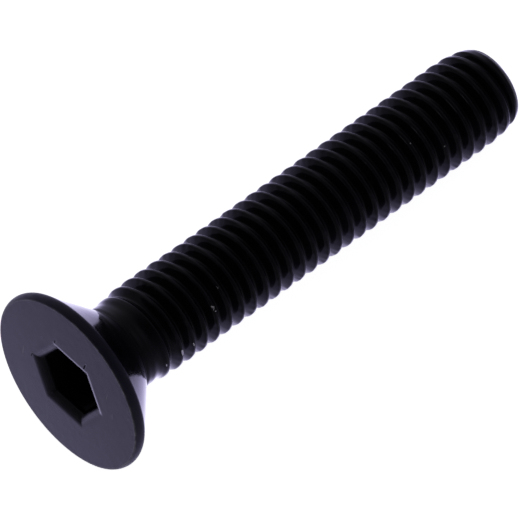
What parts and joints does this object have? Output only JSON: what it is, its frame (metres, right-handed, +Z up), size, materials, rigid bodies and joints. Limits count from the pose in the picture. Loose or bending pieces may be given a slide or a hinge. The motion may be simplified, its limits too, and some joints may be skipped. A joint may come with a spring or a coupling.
{
  "type": "countersunk socket screw",
  "caption": "Countersunk screw with a hexagon socket in its flat head and a shank threaded up to the head.",
  "frame": {"origin": "middle of the bottom of the bounding box, on the plane that the screw lies on", "axes": "+Z up; the screw lies along Y with its head towards -Y and its point towards +Y, its axis falling 5.3 degrees towards the point"},
  "size_m": [0.0118, 0.0354, 0.0118],
  "materials": {
    "blackened_steel": "satin black oxide on steel"
  },
  "bodies": {
    "root": {"countersunk_socket_screw": "blackened_steel"}
  },
  "joints": []
}
